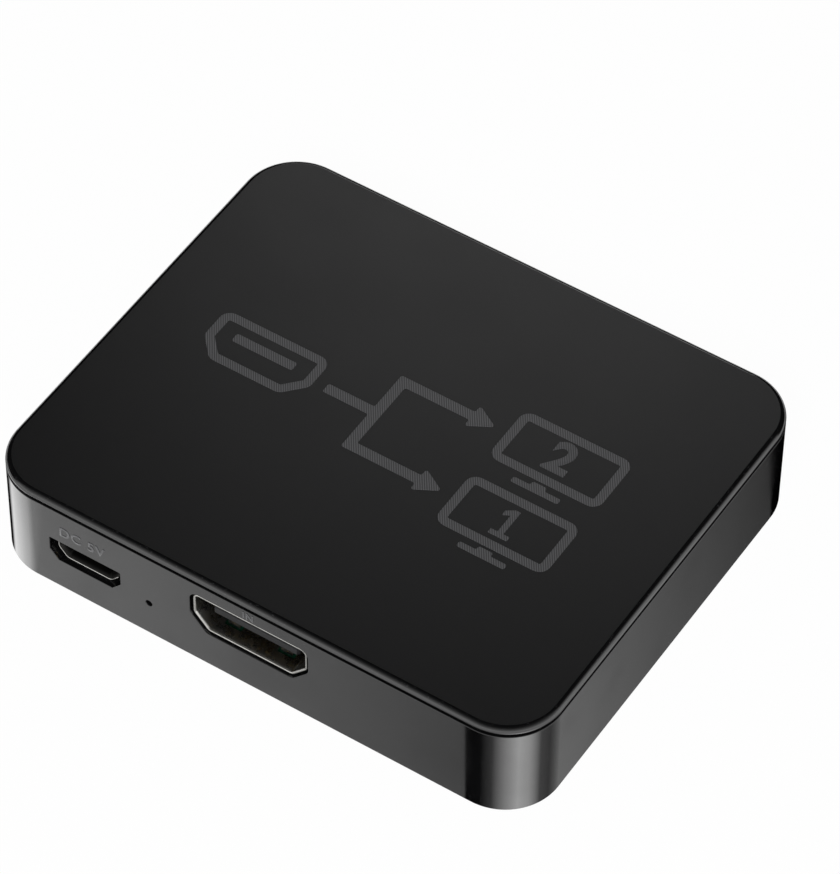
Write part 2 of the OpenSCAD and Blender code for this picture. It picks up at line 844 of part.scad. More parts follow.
// Outline with two straight sides and round ends
module stadium(l, w) {
    square([w, l - w], center = true);
    for (y = [-1, 1]) translate([0, y * (l - w) / 2]) circle(d = w);
}

module clock_crystal() {
    color("#cfd0d2")
    at_chip() translate([crystal_x, 0, 0]) {
        linear_extrude(flange_t) stadium(crystal_l + 2 * flange_w, crystal_w + 2 * flange_w);
        translate([0, 0, flange_t]) linear_extrude(crystal_h) stadium(crystal_l, crystal_w);
    }
}

module surge_arrays() {
    color("#26262a")
    at_each_video()
        for (x = [-1, 1]) chip_box(x * array_x, array_at, array_l, array_w, array_h);
}

// Body of a small part that lies along Y, between its end caps
module part_body(l, w, h) {
    chip_box(0, 0, w, l - 2 * end_cap_l, h);
}

// End caps of a small part that lies along Y
module part_ends(l, w, h) {
    for (y = [-1, 1])
        chip_box(0, y * (l - end_cap_l) / 2, w + 2 * end_cap_proud, end_cap_l, h + end_cap_proud);
}

// Places of the capacitors: a row along each side of the splitter chip
module at_each_capacitor() {
    at_chip()
        for (side = [0 : 3], x = row(capacitor_count, capacitor_step))
            rotate([0, 0, 90 * side])
                translate([x, chip_w / 2 + lead_reach + capacitor_gap, 0]) children();
}

// Places of the resistors: a row behind each video socket
module at_each_resistor() {
    at_each_video()
        for (x = row(resistor_count, resistor_step)) translate([x, resistor_at, 0]) children();
}

module at_bulk() {
    at_front(power_x + bulk_x) translate([0, regulator_at, 0]) children();
}

module at_bead() {
    at_front(power_x) translate([0, bead_at, 0]) rotate([0, 0, 90]) children();
}

module ceramic_capacitors() {
    color("#b08a5b")
    at_each_capacitor() part_body(chip_part_l, chip_part_w, capacitor_h);
}

module resistors() {
    color("#18181a")
    at_each_resistor() part_body(chip_part_l, chip_part_w, resistor_h);
}

module bulk_capacitor() {
    color("#c98f2e")
    at_bulk() part_body(bulk_l, bulk_w, bulk_h);
}

module ferrite_bead() {
    color("#4a4a4e")
    at_bead() part_body(bead_l, bead_w, bead_h);
}

module part_end_caps() {
    color("#c8c9cb") {
        at_each_capacitor() part_ends(chip_part_l, chip_part_w, capacitor_h);
        at_each_resistor() part_ends(chip_part_l, chip_part_w, resistor_h);
        at_bulk() part_ends(bulk_l, bulk_w, bulk_h);
        at_bead() part_ends(bead_l, bead_w, bead_h);
    }
}

bottom_case();
top_cover();
case_screws();
rubber_feet();
main_board();
video_in_shell();
video_in_insulator();
video_in_contacts();
video_out_1_shell();
video_out_1_insulator();
video_out_1_contacts();
video_out_2_shell();
video_out_2_insulator();
video_out_2_contacts();
power_socket_shell();
power_socket_insulator();
power_socket_contacts();
status_led();
splitter_chip();
splitter_chip_leads();
memory_chip();
memory_chip_leads();
voltage_regulator();
voltage_regulator_leads();
clock_crystal();
surge_arrays();
ceramic_capacitors();
resistors();
bulk_capacitor();
ferrite_bead();
part_end_caps();
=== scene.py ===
"""Looks of a small video splitter box: a satin lid over a polished black tray, with nickel sockets.

Lengths are millimetres until a mesh is made, and the frame is the one of the solids: X along the front
wall, Y from the front wall to the back wall, Z up from the plane of the feet.
"""
import json
import math

import bmesh
import bpy
from mathutils import Matrix, Vector


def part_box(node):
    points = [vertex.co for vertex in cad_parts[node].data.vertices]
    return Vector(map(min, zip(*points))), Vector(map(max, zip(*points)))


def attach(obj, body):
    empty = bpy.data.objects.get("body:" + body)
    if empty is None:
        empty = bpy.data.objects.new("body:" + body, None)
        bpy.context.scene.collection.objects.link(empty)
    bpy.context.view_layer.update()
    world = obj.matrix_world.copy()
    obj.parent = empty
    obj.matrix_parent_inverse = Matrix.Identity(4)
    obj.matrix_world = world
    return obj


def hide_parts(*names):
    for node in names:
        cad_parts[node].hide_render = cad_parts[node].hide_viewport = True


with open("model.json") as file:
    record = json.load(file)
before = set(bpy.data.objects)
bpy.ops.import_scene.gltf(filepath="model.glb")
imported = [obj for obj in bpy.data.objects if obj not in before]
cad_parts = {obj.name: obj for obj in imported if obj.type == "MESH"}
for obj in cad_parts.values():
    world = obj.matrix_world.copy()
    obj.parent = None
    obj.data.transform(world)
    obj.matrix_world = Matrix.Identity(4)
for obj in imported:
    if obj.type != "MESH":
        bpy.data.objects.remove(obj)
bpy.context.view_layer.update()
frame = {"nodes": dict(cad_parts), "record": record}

MM = 0.001
SLOT_COLOUR = {m["slot"]: tuple(m["base_color"]) for m in frame["record"]["materials"]}


def node_box(node):
    """Lowest and highest corner of a solid, in millimetres."""
    low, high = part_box(node)
    return low / MM, high / MM


# Case: its outside comes from the solids, its walls and ledges from the sizes of the moulding
tray_low, tray_high = node_box("bottom_case")
board_low, board_high = node_box("main_board")
CASE_W = tray_high.x - tray_low.x
CASE_D = tray_high.y - tray_low.y
BASE_Z = tray_low.z
WALL_Z = tray_high.z
TOP_Z = node_box("top_cover")[1].z
CORNER_R = 6.8
CORNER_STEPS = 24
WALL_T = 1.9
FLOOR_T = 1.6
BASE_EDGE_R = 0.15
LIP_W = 0.9
LEDGE_Z = 12.5
RIM_DROP = 0.12
EDGE_STEPS = 8
SOFT_EDGE = 0.08
SOFT_ANGLE = 40
SMALLEST_R = 0.02

# Raised marks end flush with the solids, so the faces that carry them lie lower by their height
RELIEF = 0.06
RELIEF_TUCK = 0.05
RELIEF_EDGE = 0.03

# Words on the walls
LETTER_SPACE = 1.12
LETTER_STEPS = 6
LETTER_WELD = 1e-5
POWER_WORD_SIZE = 1.95
POWER_WORD_X = -21.7
POWER_WORD_Z = 10.45
PORT_WORD_SIZE = 1.35
PORT_WORD_Z = 12.62

# Angles in degrees over which an edge is shaded as a corner
SHARP_CASE = 50
SHARP_WORDS = 70
SHARP_SMALL = 30

# Lid
LID_FACE_Z = TOP_Z - RELIEF
LID_EDGE_R = 0.75
LID_EDGE_STEPS = 14
LID_Z = LID_FACE_Z - LID_EDGE_R
DECK_Z = 13.2
RIM_INSET = 1.0
RIM_T = 1.6
LID_EDGE_TILT = 0.995

# Screws, bosses, posts and feet
SCREW_X = 29.0
SCREW_Y = 23.0
BOSS_R = 2.8
POST_R = 2.5
PILOT_R = 0.95
PILOT_TOP = 11.4
FOOT_HOLE_R = 4.3
FOOT_HOLE_TOP = BASE_Z + 0.6
HEAD_HOLE_R = 2.05
HEAD_HOLE_TOP = 2.8
SHANK_HOLE_R = 1.05
ROUND_STEPS = 48

# Video sockets: a lip is given as pairs of growth beyond the opening and depth behind the rim, and a
# spring's tip as shares of its length and of the dip
VIDEO_W = 14.0
VIDEO_H = 4.55
VIDEO_SLANT = (1.7, 1.9)
VIDEO_BEND_R = 0.5
VIDEO_SHELL_T = 0.35
VIDEO_RECESS = 0.3
VIDEO_DEPTH = 11.5
VIDEO_BACK = VIDEO_RECESS + VIDEO_DEPTH
VIDEO_CUT_GAP = 0.25
VIDEO_CUT_STEPS = 6
VIDEO_LIP_SECTION = [(0, 0.3), (0.06, 0.08), (0.15, 0), (0.25, 0), (0.35, 0.1)]
VIDEO_BLOCK_L = 4.2
VIDEO_TONGUE = (11.0, 1.3)
VIDEO_TONGUE_TIP = VIDEO_RECESS + 1.1
VIDEO_TONGUE_CHAMFER = 0.22
VIDEO_LEGS = (3.2, 10.0)
SPRING_X = 3.4
SPRING_W = 1.5
SPRING_SLIT = 0.35
SPRING_START = VIDEO_RECESS + 1.6
SPRING_END = SPRING_START + 4.6
SPRING_DIP = 0.45
SPRING_STEPS = 8
SPRING_TIP_L = 0.9
SPRING_TIP = ((0.5, 0.85), (1.0, 0.45))

# Power inlet
POWER_W = 6.9
POWER_H = 1.85
POWER_SLANT = (0.8, 0.9)
POWER_BEND_R = 0.25
POWER_SHELL_T = 0.25
POWER_RIM = 0.8
POWER_BACK = 6.0
POWER_FLARE_L = 0.5
POWER_LIP_SECTION = [(0.44, 0.1), (0.5, 0.03), (0.56, 0), (0.61, 0.05), (0.63, 0.14)]
# Rings of faces inside the power sleeve that take the darkened metal, as painted shade
POWER_PAINTED_SHADE_RINGS = 3
POWER_LIP = 0.25
POWER_CUT = (9.34, 3.19)
POWER_CUT_SLANT = (1.1, 1.25)
POWER_CUT_R = 0.1
POWER_CUT_STEPS = 4
POWER_BLOCK_L = 1.9
POWER_TONGUE = (3.7, 0.55)
POWER_TONGUE_UP = 0.3
POWER_TONGUE_TIP = 1.7
POWER_TONGUE_CHAMFER = 0.1
POWER_LEGS = (4.2,)

# Both kinds of sockets
BEND_STEPS = 5
TONGUE_R = 0.12
TONGUE_STEPS = 4
TONGUE_SLOPE = 1.6
LEG_W = 1.2
LEG_END = board_low.z - 0.6
TUCK = 0.05
FIT_GAP = 0.05
PINHOLE_R = 0.425
OVERCUT = 1.0


# Outlines


def rectangle(w, h):
    """Corners of a rectangle about the origin, anticlockwise."""
    return [Vector((x * w / 2, y * h / 2)) for x, y in ((1, 1), (-1, 1), (-1, -1), (1, -1))]


def socket_corners(w, h, slant):
    """Corners of a socket's opening, slanted at the lower corners, anticlockwise."""
    toe = w / 2 - slant[0]
    shoulder = slant[1] - h / 2
    upper = [(w / 2, h / 2), (-w / 2, h / 2)]
    lower = [(-w / 2, shoulder), (-toe, -h / 2), (toe, -h / 2), (w / 2, shoulder)]
    return [Vector(p) for p in upper + lower]


def neighbours(points):
    """Each point with the one before it and the one after it."""
    return zip(points[-1:] + points[:-1], points, points[1:] + points[:1])


def grown(points, distance):
    """Outline moved outwards by an even distance, with mitred corners."""
    outline = []
    for before, here, after in neighbours(points):
        a = (here - before).normalized()
        b = (after - here).normalized()
        out_a = Vector((a.y, -a.x))
        out_b = Vector((b.y, -b.x))
        outline.append(here + (out_a + out_b) * (distance / (1 + out_a.dot(out_b))))
    return outline


def rounded(points, radius, steps=6, grow=0.0):
    """Outline grown by a distance, with corners turned into arcs that stay parallel as it grows."""
    outline = []
    for before, here, after in neighbours(grown(points, grow)):
        to_before = (before - here).normalized()
        to_after = (after - here).normalized()
        outward = to_before.x * to_after.y - to_before.y * to_after.x < 0
        r = max(radius + (grow if outward else -grow), SMALLEST_R)
        half = to_before.angle(to_after) / 2
        centre = here + (to_before + to_after).normalized() * (r / math.sin(half))
        start = here + to_before * (r / math.tan(half)) - centre
        turn = (math.pi - 2 * half) * (1 if outward else -1)
        for k in range(steps + 1):
            outline.append(centre + Matrix.Rotation(turn * k / steps, 2) @ start)
    return outline


def flat(outline, z):
    """Outline laid level at a height."""
    return [Vector((p.x, p.y, z)) for p in outline]


def upright(outline, y, rise=0.0):
    """Outline stood up in a wall's frame, at a depth behind the wall's face."""
    return [Vector((p.x, y, p.y + rise)) for p in outline]


def plan(inset, z):
    """The case's plan outline, drawn in by a distance, at a height."""
    return flat(rounded(rectangle(CASE_W, CASE_D), CORNER_R, CORNER_STEPS, -inset), z)


def circle(radius, z, at=(0.0, 0.0)):
    """Level circle about a place on the plan."""
    turns = [2 * math.pi * k / ROUND_STEPS for k in range(ROUND_STEPS)]
    return [Vector((at[0] + radius * math.cos(t), at[1] + radius * math.sin(t), z)) for t in turns]


# Meshes


def loft(bm, rings, ring_shaped=False):
    """Skin over rings of as many points each, capped unless the last ring meets the first."""
    rows = [[bm.verts.new(p) for p in ring] for ring in rings]
    pairs = list(zip(rows, rows[1:]))
    if ring_shaped:
        pairs.append((rows[-1], rows[0]))
    for low, high in pairs:
        for i in range(len(low)):
            j = (i + 1) % len(low)
            bm.faces.new((low[i], low[j], high[j], high[i]))
    if not ring_shaped:
        bm.faces.new(reversed(rows[0]))
        bm.faces.new(rows[-1])


def block(bm, low, high):
    """Box between two corners."""
    size = Vector(high) - Vector(low)
    middle = (Vector(high) + Vector(low)) / 2
    ends = [flat(rectangle(size.x, size.y), z) for z in (-size.z / 2, size.z / 2)]
    loft(bm, [[p + middle for p in ring] for ring in ends])


def at_screws():
    """Places of the four screws on the plan."""
    return [(x * SCREW_X, y * SCREW_Y) for x in (-1, 1) for y in (-1, 1)]


def to_front(x, z):
    """Frame of the front wall: Y runs inwards from its face."""
    return Matrix.Translation((x, -CASE_D / 2, z))


def to_back(x, z):
    """Frame of the back wall: Y runs inwards from its face, and X is turned with it."""
    return Matrix.Translation((x, CASE_D / 2, z)) @ Matrix.Rotation(math.pi, 4, "Z")


def lettering(words, size, bold=0.0):
    """Words lying flat about the origin, as thick as a raised mark and its tuck, with soft edges."""
    curve = bpy.data.curves.new(words, "FONT")
    curve.body = words
    curve.size = size
    curve.offset = bold
    curve.extrude = (RELIEF + RELIEF_TUCK) / 2 - RELIEF_EDGE
    curve.bevel_depth = RELIEF_EDGE
    curve.bevel_resolution = 1
    curve.resolution_u = LETTER_STEPS
    curve.space_character = LETTER_SPACE
    curve.align_x = "CENTER"
    curve.align_y = "CENTER"
    text = bpy.data.objects.new(words, curve)
    bpy.context.scene.collection.objects.link(text)
    graph = bpy.context.evaluated_depsgraph_get()
    bm = bmesh.new()
    bm.from_mesh(text.evaluated_get(graph).to_mesh())
    bmesh.ops.remove_doubles(bm, verts=bm.verts, dist=LETTER_WELD)
    bpy.data.objects.remove(text)
    return bm


def make_object(name, bm, place=Matrix.Identity(4)):
    """Object from a mesh in millimetres, put in its place."""
    bmesh.ops.recalc_face_normals(bm, faces=bm.faces)
    bm.transform(Matrix.Scale(MM, 4) @ place)
    mesh = bpy.data.meshes.new(name)
    bm.to_mesh(mesh)
    bm.free()
    piece = bpy.data.objects.new(name, mesh)
    bpy.context.scene.collection.objects.link(piece)
    return piece


def settle(piece):
    """Turns a piece's modifiers into plain mesh."""
    graph = bpy.context.evaluated_depsgraph_get()
    mesh = bpy.data.meshes.new_from_object(piece.evaluated_get(graph))
    piece.modifiers.clear()
    piece.data = mesh


def combine(piece, tool, operation):
    """Cuts a tool's mesh out of a piece, or joins it on, and throws the tool away."""
    boolean = piece.modifiers.new(operation.lower(), "BOOLEAN")
    boolean.operation = operation
    boolean.solver = "EXACT"
    boolean.object = tool
    settle(piece)
    bpy.data.objects.remove(tool)


def soften(piece, width, segments=2):
    """Rounds a piece's sharp edges."""
    bevel = piece.modifiers.new("soft edges", "BEVEL")
    bevel.width = width * MM
    bevel.segments = segments
    bevel.limit_method = "ANGLE"
    bevel.angle_limit = math.radians(SOFT_ANGLE)
    bevel.miter_outer = "MITER_ARC"


def shade(piece, sharp=SHARP_CASE):
    """Smooth shading with crisp corners, weighted towards the large faces."""
    for face in piece.data.polygons:
        face.use_smooth = True
    piece.data.set_sharp_from_angle(angle=math.radians(sharp))
    weighted = piece.modifiers.new("even shading", "WEIGHTED_NORMAL")
    weighted.keep_sharp = True


def dress(piece, slot, *nodes, finish=None):
    """Gives a new piece its finish and lets it stand for the solids that it replaces."""
    piece.data.materials.clear()
    piece.data.materials.append(finish_of(finish or slot))
    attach(piece, "root")
    if nodes:
        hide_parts(*nodes)


# Finishes

HATCH_WAY = (0.82, 0.57, 0.0)
HATCH_PITCH = 0.25
# Share of its colour that metal keeps inside a sleeve: painted shade
INSIDE_SHADE = 0.06
MOTTLE_GRAINS = 9
TRACK_PITCH = 0.8
TRACK_WANDER = 2.0


class Value:
    """A socket of a node tree; arithmetic on it adds Math nodes."""

    def __init__(self, finish, socket):
        self.finish = finish
        self.socket = socket

    def math(self, operation, *others):
        return self.finish.node("ShaderNodeMath", {"operation": operation}, (self, *others))

    def __add__(self, other):
        return self.math("ADD", other)

    def __mul__(self, other):
        return self.math("MULTIPLY", other)

    def __sub__(self, other):
        return self.math("SUBTRACT", other)

    def __rsub__(self, other):
        return self * -1 + other

    __radd__ = __add__
    __rmul__ = __mul__


class Finish:
    """The node tree of a material or of the world."""

    def __init__(self, owner):
        owner.use_nodes = True
        self.tree = owner.node_tree
        self.tree.nodes.clear()

    def node(self, kind, settings=None, inputs=(), output=0):
        """Adds a node, sets it up, then fills its sockets with numbers or links them."""
        made = self.tree.nodes.new(kind)
        for name, value in (settings or {}).items():
            setattr(made, name, value)
        for key, value in inputs.items() if isinstance(inputs, dict) else enumerate(inputs):
            if isinstance(value, Value):
                self.tree.links.new(value.socket, made.inputs[key])
            else:
                made.inputs[key].default_value = value
        return Value(self, made.outputs[output])

    def place(self, stretch=(1.0, 1.0, 1.0)):
        """The point on the object, in metres, drawn out along the axes."""
        point = self.node("ShaderNodeTexCoord", output="Object")
        return self.node("ShaderNodeVectorMath", {"operation": "MULTIPLY"}, (point, stretch))

    def along(self, point, way):
        """How far a point lies along a direction."""
        return self.node("ShaderNodeVectorMath", {"operation": "DOT_PRODUCT"}, (point, way), "Value")

    def noise(self, size, detail=2.0, stretch=(1.0, 1.0, 1.0)):
        """Cloudy pattern from 0 to 1, whose patches have a size in millimetres."""
        inputs = {"Vector": self.place(stretch), "Scale": 1 / (size * MM), "Detail": detail}
        return self.node("ShaderNodeTexNoise", inputs=inputs)

    def between(self, value, low, high):
        """Soft step from 0 at a low value to 1 at a high one."""
        inputs = {"Value": value, "From Min": low, "From Max": high}
        return self.node("ShaderNodeMapRange", {"interpolation_type": "SMOOTHSTEP"}, inputs)

    def blend(self, share, first, second):
        """Colour between two others."""
        inputs = {0: share, 6: rgba(first), 7: rgba(second)}
        return self.node("ShaderNodeMix", {"data_type": "RGBA"}, inputs, 2)

    def bump(self, height, depth):
        """Normal tilted by a pattern of that depth, in millimetres."""
        return self.node("ShaderNodeBump", inputs={"Height": height, "Distance": depth * MM})

    def surface(self, **sockets):
        """Closes the material with a surface shader."""
        inputs = {}
        for name, value in sockets.items():
            inputs[name.title().replace("_", " ").replace("Ior", "IOR")] = value
        shader = self.node("ShaderNodeBsdfPrincipled", inputs=inputs)
        self.node_output("ShaderNodeOutputMaterial", shader)

    def node_output(self, kind, shader):
        """Ends the tree."""
        end = self.tree.nodes.new(kind)
        self.tree.links.new(shader.socket, end.inputs["Surface"])


def rgba(colour):
    """Colour with its alpha, or a link as it is."""
    return colour if isinstance(colour, Value) else (*colour[:3], 1.0)


def shaded(colour, share):
    """Colour made lighter or darker by a share."""
    return tuple(c * share for c in colour[:3])


def polished_case(f, colour, depth):
    """Lacquered black moulding: faint smears, dust specks, and a skin that isn't quite flat."""
    smear = f.between(f.noise(9.0, detail=4.0), low=0.42, high=0.72)
    speck = f.between(f.noise(0.25, detail=1.0), low=0.68, high=0.74)
    deep = shaded(colour, depth)
    f.surface(
        base_color=f.blend(speck, f.blend(smear, deep, shaded(deep, 1.3)), shaded(colour, 1.5)),
        roughness=0.1 + 0.05 * smear + 0.1 * speck,
        normal=f.bump(f.noise(2.2, detail=1.0), depth=0.0005),
        ior=1.55,
        coat_weight=1 - 0.2 * smear,
        coat_roughness=0.05,
    )


def satin_lid(f, colour):
    """Satin black face with a fine eroded grain."""
    cloud = f.between(f.noise(12.0, detail=3.0), low=0.35, high=0.7)
    grain = f.noise(0.16, detail=3.0)
    f.surface(
        base_color=f.blend(grain, shaded(colour, 0.26), shaded(colour, 0.46)),
        roughness=0.28 + 0.015 * cloud + 0.03 * grain,
        normal=f.bump(grain, depth=0.006),
        specular_ior_level=0.25,
    )


def hatched_sign(f, colour):
    """Raised sign with a fine slanted hatch, its colour painted lighter than the lid around it: a
    painted sheen for the light that the hatch catches.
    """
    across = f.along(f.place(), HATCH_WAY)
    wave = (across * (2 * math.pi / (HATCH_PITCH * MM))).math("SINE")
    stipple = f.noise(0.12, detail=2.0)
    pattern = f.between(wave, low=-0.5, high=0.7) * (0.6 + 0.4 * stipple)
    f.surface(
        # Hatch colour lifted well above the lid's: painted sheen
        base_color=f.blend(pattern, shaded(colour, 2.7), shaded(colour, 9.3)),
        roughness=0.5 - 0.1 * pattern,
        normal=f.bump(pattern, depth=0.012),
        ior=1.55,
    )


def plated(f, colour, roughness, streak_size, streak):
    """Plated sheet metal: rolling streaks, and dull patches where the plating is thin."""
    streaks = f.noise(streak_size, detail=3.0, stretch=streak)
    dull = f.between(f.noise(1.6, detail=3.0), low=0.45, high=0.75)
    f.surface(
        base_color=f.blend(dull, colour, shaded(colour, 0.82)),
        metallic=1.0,
        roughness=roughness + 0.12 * streaks + 0.1 * dull,
        normal=f.bump(streaks, depth=0.002),
    )


def painted_shade_metal(f, colour, roughness, streak_size, streak):
    """The same metal inside a sleeve, rougher, with its colour darkened to a small share: painted shade
    for the depth of the sleeve.
    """
    plated(f, shaded(colour, INSIDE_SHADE), roughness, streak_size, streak)


def moulded(f, colour, roughness, grain_size, grain_depth, mottle):
    """Moulded or fired body: fine grain, and a colour that isn't quite even."""
    grain = f.noise(grain_size, detail=3.0)
    cloud = f.noise(grain_size * MOTTLE_GRAINS, detail=2.0)
    f.surface(
        base_color=f.blend(cloud, shaded(colour, 1 - mottle), shaded(colour, 1 + mottle)),
        roughness=roughness + 0.12 * grain - 0.06,
        normal=f.bump(grain, grain_depth),
        ior=1.5,
    )


def masked_board(f, colour, depth):
    """Solder mask over copper: tracks show through as slightly raised, lighter stripes; the mask's
    colour is darkened to a share, painted shade on the board that shows through the sockets' slits.
    """
    x_way = f.along(f.place(), (1.0, 0.0, 0.0))
    wander = TRACK_WANDER * MM * f.noise(6.0, detail=1.0)
    wave = (x_way + wander) * (2 * math.pi / (TRACK_PITCH * MM))
    track = f.between(wave.math("SINE"), low=0.2, high=0.6)
    ground = f.between(f.noise(7.0, detail=1.0), low=0.47, high=0.53)
    copper = track * ground
    f.surface(
        base_color=f.blend(copper, shaded(colour, depth), shaded(colour, 1.9 * depth)),
        roughness=0.3 - 0.06 * copper + 0.1 * f.noise(0.4),
        normal=f.bump(copper, depth=0.03),
        ior=1.5,
    )


# Each slot's finish, with the values that the finish takes after the slot's colour
FINISHES = {
    "case_gloss": (polished_case, 0.18),
    # Words on the walls: the case's lacquer painted lighter, a painted highlight
    "wall_words": (polished_case, 3.8),
    "lid_satin": (satin_lid,),
    "lid_sign": (hatched_sign,),
    "screw_steel": (plated, 0.3, 0.3, (1.0, 1.0, 4.0)),
    "foot_rubber": (moulded, 0.8, 0.14, 0.02, 0.15),
    # The board's colour darkened to a share: painted shade
    "board_mask": (masked_board, 0.3),
    "shell_metal": (plated, 0.2, 0.12, (6.0, 0.6, 6.0)),
    "shell_inside": (painted_shade_metal, 0.45, 0.12, (6.0, 0.6, 6.0)),
    "insulator_black": (moulded, 0.42, 0.1, 0.004, 0.1),
    "contact_gold": (plated, 0.16, 0.08, (6.0, 0.6, 6.0)),
    "led_white": (moulded, 0.25, 0.3, 0.003, 0.06),
    "chip_black": (moulded, 0.55, 0.07, 0.006, 0.12),
    "lead_tin": (plated, 0.28, 0.1, (1.0, 1.0, 1.0)),
    "crystal_can": (plated, 0.2, 0.15, (1.0, 1.0, 6.0)),
    "capacitor_tan": (moulded, 0.5, 0.1, 0.006, 0.12),
    "resistor_black": (moulded, 0.35, 0.1, 0.004, 0.1),
    "bulk_yellow": (moulded, 0.45, 0.12, 0.005, 0.08),
    "ferrite_grey": (moulded, 0.6, 0.09, 0.008, 0.15),
}
FINISH_SLOT = {"wall_words": "case_gloss", "lid_sign": "lid_satin", "shell_inside": "shell_metal"}
made_finishes = {}


def finish_of(name):
    """The material of that name, made when it is first asked for."""
    if name not in made_finishes:
        make, *values = FINISHES[name]
        made_finishes[name] = bpy.data.materials.new(name)
        make(Finish(made_finishes[name]), SLOT_COLOUR[FINISH_SLOT.get(name, name)], *values)
    return made_finishes[name]


# Case

# Middles of the openings, found from the solids
video_middle = {}
for socket in ("video_in", "video_out_1", "video_out_2"):
    low, high = node_box(socket + "_shell")
    video_middle[socket] = ((low.x + high.x) / 2, high.z - VIDEO_SHELL_T - VIDEO_H / 2)
power_low, power_high = node_box("power_socket_shell")
POWER_X = (power_low.x + power_high.x) / 2
POWER_Z = power_high.z - POWER_LIP - POWER_SHELL_T - POWER_H / 2
led_low, led_high = node_box("status_led")
LED_X = (led_low.x + led_high.x) / 2
LED_Z = (led_low.z + led_high.z) / 2
VIDEO_CORNERS = socket_corners(VIDEO_W, VIDEO_H, VIDEO_SLANT)
POWER_CORNERS = socket_corners(POWER_W, POWER_H, POWER_SLANT)

PLACES = {
    "video_in": to_front(*video_middle["video_in"]),
    "video_out_1": to_back(*video_middle["video_out_1"]),
    "video_out_2": to_back(*video_middle["video_out_2"]),
    "power": to_front(POWER_X, POWER_Z),
    "light": to_front(LED_X, LED_Z),
}


def fillet(inset, z, radius, start, end, steps=EDGE_STEPS):
    """Points of a rounded edge, as pairs of inset and height, between two angles in degrees."""
    turns = [math.radians(start + (end - start) * k / steps) for k in range(steps + 1)]
    return [(inset - radius * math.cos(t), z + radius * math.sin(t)) for t in turns]


def add_mesh(bm, part, place):
    """Adds one mesh to another in its place and throws it away."""
    part.transform(place)
    mesh = bpy.data.meshes.new("part")
    part.to_mesh(mesh)
    part.free()
    bm.from_mesh(mesh)
    bpy.data.meshes.remove(mesh)


def opening(bm, outline, place):
    """Cutting tool for an opening of that outline in a wall."""
    tool = bmesh.new()
    loft(tool, [upright(outline, -OVERCUT), upright(outline, WALL_T + OVERCUT)])
    add_mesh(bm, tool, place)


def wall_tools():
    """Cutting tools for the openings in the walls."""
    bm = bmesh.new()
    video_cut = rounded(VIDEO_CORNERS, VIDEO_BEND_R, VIDEO_CUT_STEPS, VIDEO_SHELL_T + VIDEO_CUT_GAP)
    for socket in video_middle:
        opening(bm, video_cut, PLACES[socket])
    power_corners = socket_corners(*POWER_CUT, POWER_CUT_SLANT)
    opening(bm, rounded(power_corners, POWER_CUT_R, POWER_CUT_STEPS), PLACES["power"])
    opening(bm, [p.to_2d() for p in circle(PINHOLE_R, 0)], PLACES["light"])
    return make_object("wall_tools", bm)


def make_tray():
    """The tray: a ledge for the lid, bosses, and openings for the sockets, screws and feet."""
    rim_z = WALL_Z - RIM_DROP
    profile = fillet(RELIEF + BASE_EDGE_R, BASE_Z + BASE_EDGE_R, BASE_EDGE_R, -90, 0)
    profile += [(RELIEF, rim_z), (LIP_W, rim_z), (LIP_W, LEDGE_Z)]
    profile += [(WALL_T, LEDGE_Z), (WALL_T, BASE_Z + FLOOR_T)]
    bm = bmesh.new()
    loft(bm, [plan(inset, z) for inset, z in profile])
    tray = make_object("tray", bm)
    bosses = bmesh.new()
    for at in at_screws():
        loft(bosses, [circle(BOSS_R, BASE_Z + BASE_EDGE_R, at), circle(BOSS_R, board_low.z, at)])
    combine(tray, make_object("bosses", bosses), "UNION")
    holes = bmesh.new()
    stepped = [
        (FOOT_HOLE_R, BASE_Z - OVERCUT), (FOOT_HOLE_R, FOOT_HOLE_TOP),
        (HEAD_HOLE_R, FOOT_HOLE_TOP), (HEAD_HOLE_R, HEAD_HOLE_TOP),
        (SHANK_HOLE_R, HEAD_HOLE_TOP), (SHANK_HOLE_R, board_low.z + OVERCUT),
    ]
    for at in at_screws():
        loft(holes, [circle(radius, z, at) for radius, z in stepped])
    combine(tray, make_object("holes", holes), "DIFFERENCE")
    combine(tray, wall_tools(), "DIFFERENCE")
    soften(tray, SOFT_EDGE)
    settle(tray)
    shade(tray)
    dress(tray, "case_gloss", "bottom_case")


def make_wall_words():
    """Small raised words over the sockets, moulded with the tray's walls, in the tray's lacquer painted
    lighter: a painted highlight.
    """
    bm = bmesh.new()
    half_sunk = Matrix.Translation((0, (RELIEF + RELIEF_TUCK) / 2, 0))
    stood_up = half_sunk @ Matrix.Rotation(math.pi / 2, 4, "X")
    for words, size, place in (
        ("DC 5V", POWER_WORD_SIZE, to_front(POWER_WORD_X, POWER_WORD_Z)),
        ("IN", PORT_WORD_SIZE, to_front(video_middle["video_in"][0], PORT_WORD_Z)),
        ("OUT 1", PORT_WORD_SIZE, to_back(video_middle["video_out_1"][0], PORT_WORD_Z)),
        ("OUT 2", PORT_WORD_SIZE, to_back(video_middle["video_out_2"][0], PORT_WORD_Z)),
    ):
        add_mesh(bm, lettering(words, size), place @ stood_up)
    marks = make_object("wall_words", bm)
    shade(marks, SHARP_WORDS)
    dress(marks, "case_gloss", finish="wall_words")


